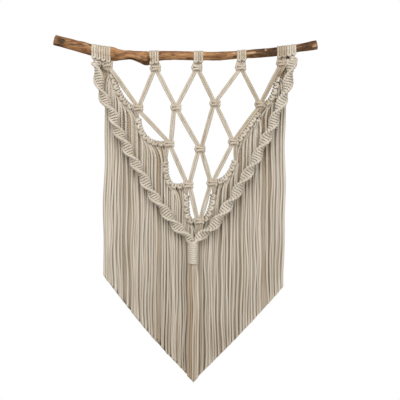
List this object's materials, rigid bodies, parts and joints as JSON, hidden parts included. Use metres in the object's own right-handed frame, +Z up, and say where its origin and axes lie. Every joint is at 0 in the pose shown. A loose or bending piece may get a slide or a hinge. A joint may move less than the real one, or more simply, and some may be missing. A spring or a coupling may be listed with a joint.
{
  "type": "macrame wall hanging on a driftwood branch",
  "caption": "Knotted cotton wall hanging: an open net of square knots between two spiral sinnets, with a V-shaped fringe, on a driftwood branch.",
  "frame": {"origin": "on the wall plane behind the hanging, on its centre line, at the height of the branch's lowest stretch", "axes": "+X to the right as the hanging is seen, +Z up, the front faces -Y, +Y into the wall"},
  "size_m": [0.5273, 0.0371, 0.689],
  "materials": {
    "driftwood": "bare, weathered, with darker knots and streaks",
    "cotton_cord": "undyed three-ply twisted cotton"
  },
  "bodies": {
    "root": {"branch": "driftwood", "net": "cotton_cord", "spiral_left": "cotton_cord", "spiral_right": "cotton_cord", "gathering_wrap": "cotton_cord", "fringe_left_1": "cotton_cord", "fringe_left_2": "cotton_cord", "fringe_left_3": "cotton_cord", "fringe_left_4": "cotton_cord", "fringe_right_1": "cotton_cord", "fringe_right_2": "cotton_cord", "fringe_right_3": "cotton_cord", "fringe_right_4": "cotton_cord"}
  },
  "joints": []
}
